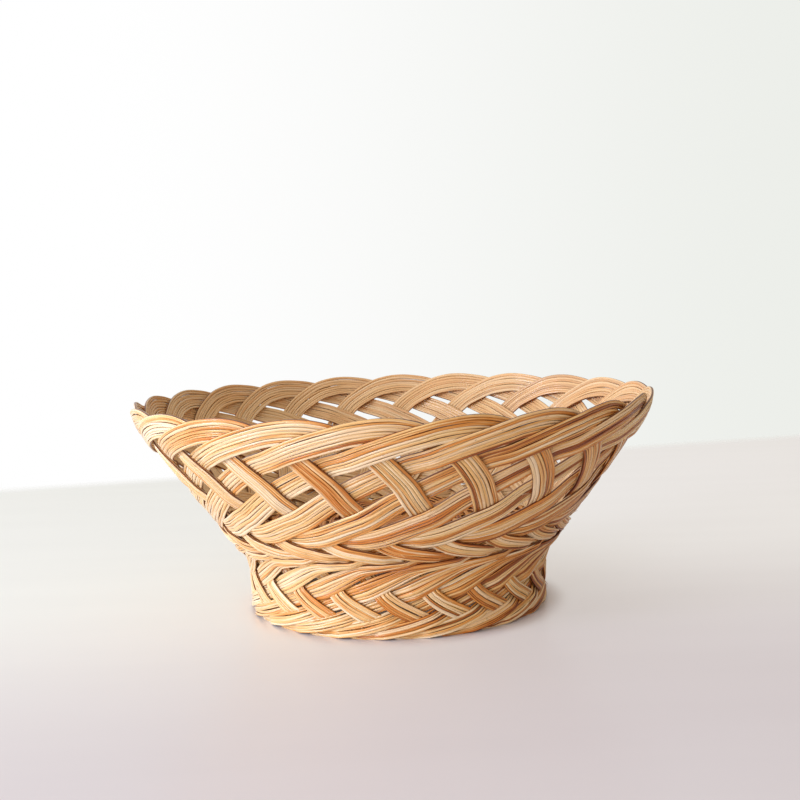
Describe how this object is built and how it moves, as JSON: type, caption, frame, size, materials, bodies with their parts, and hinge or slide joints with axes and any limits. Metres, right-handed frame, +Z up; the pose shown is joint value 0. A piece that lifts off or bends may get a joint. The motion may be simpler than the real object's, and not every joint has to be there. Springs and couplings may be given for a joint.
{
  "type": "footed wicker basket",
  "caption": "Small round basket woven from flat ribbons of split rattan, with a wide flared bowl for bread or fruit, an arched rim and a straight woven foot.",
  "frame": {"origin": "centre of the circle that the foot stands on, on the standing plane", "axes": "+Z up along the basket's axis; the side that the picture shows faces -Y"},
  "size_m": [0.2198, 0.2198, 0.0898],
  "materials": {
    "rattan_straw": "satin varnish",
    "rattan_honey": "satin varnish",
    "rattan_pale": "satin varnish",
    "rattan_amber": "satin varnish"
  },
  "bodies": {
    "root": {"wall_ribbon_01": "rattan_straw", "wall_ribbon_02": "rattan_honey", "wall_ribbon_03": "rattan_pale", "wall_ribbon_04": "rattan_amber", "wall_ribbon_05": "rattan_straw", "wall_ribbon_06": "rattan_honey", "wall_ribbon_07": "rattan_pale", "wall_ribbon_08": "rattan_amber", "wall_ribbon_09": "rattan_straw", "wall_ribbon_10": "rattan_honey", "wall_ribbon_11": "rattan_pale", "wall_ribbon_12": "rattan_amber", "wall_ribbon_13": "rattan_straw", "wall_ribbon_14": "rattan_honey", "wall_ribbon_15": "rattan_pale", "wall_ribbon_16": "rattan_amber", "wall_ribbon_17": "rattan_straw", "wall_ribbon_18": "rattan_honey", "wall_ribbon_19": "rattan_pale", "wall_ribbon_20": "rattan_amber", "wall_ribbon_21": "rattan_straw", "wall_ribbon_22": "rattan_honey", "foot_ribbon_01": "rattan_honey", "foot_ribbon_02": "rattan_pale", "foot_ribbon_03": "rattan_amber", "foot_ribbon_04": "rattan_straw", "foot_ribbon_05": "rattan_honey", "foot_ribbon_06": "rattan_pale", "foot_ribbon_07": "rattan_amber", "foot_ribbon_08": "rattan_straw", "foot_ribbon_09": "rattan_honey", "foot_ribbon_10": "rattan_pale", "foot_ribbon_11": "rattan_amber", "foot_ribbon_12": "rattan_straw", "foot_ribbon_13": "rattan_honey", "foot_ribbon_14": "rattan_pale", "foot_ribbon_15": "rattan_amber", "foot_ribbon_16": "rattan_straw", "foot_ribbon_17": "rattan_honey", "foot_ribbon_18": "rattan_pale", "foot_ribbon_19": "rattan_amber", "foot_ribbon_20": "rattan_straw", "foot_ribbon_21": "rattan_honey", "foot_ribbon_22": "rattan_pale", "base_rod_01": "rattan_honey", "base_rod_02": "rattan_honey", "base_rod_03": "rattan_honey", "base_rod_04": "rattan_honey", "base_rod_05": "rattan_honey", "base_rod_06": "rattan_honey", "base_rod_07": "rattan_honey", "base_rod_08": "rattan_honey", "base_rod_09": "rattan_honey", "base_rod_10": "rattan_honey", "base_rod_11": "rattan_honey", "base_band_01": "rattan_amber", "base_band_02": "rattan_straw", "base_band_03": "rattan_amber", "base_band_04": "rattan_straw"}
  },
  "joints": []
}
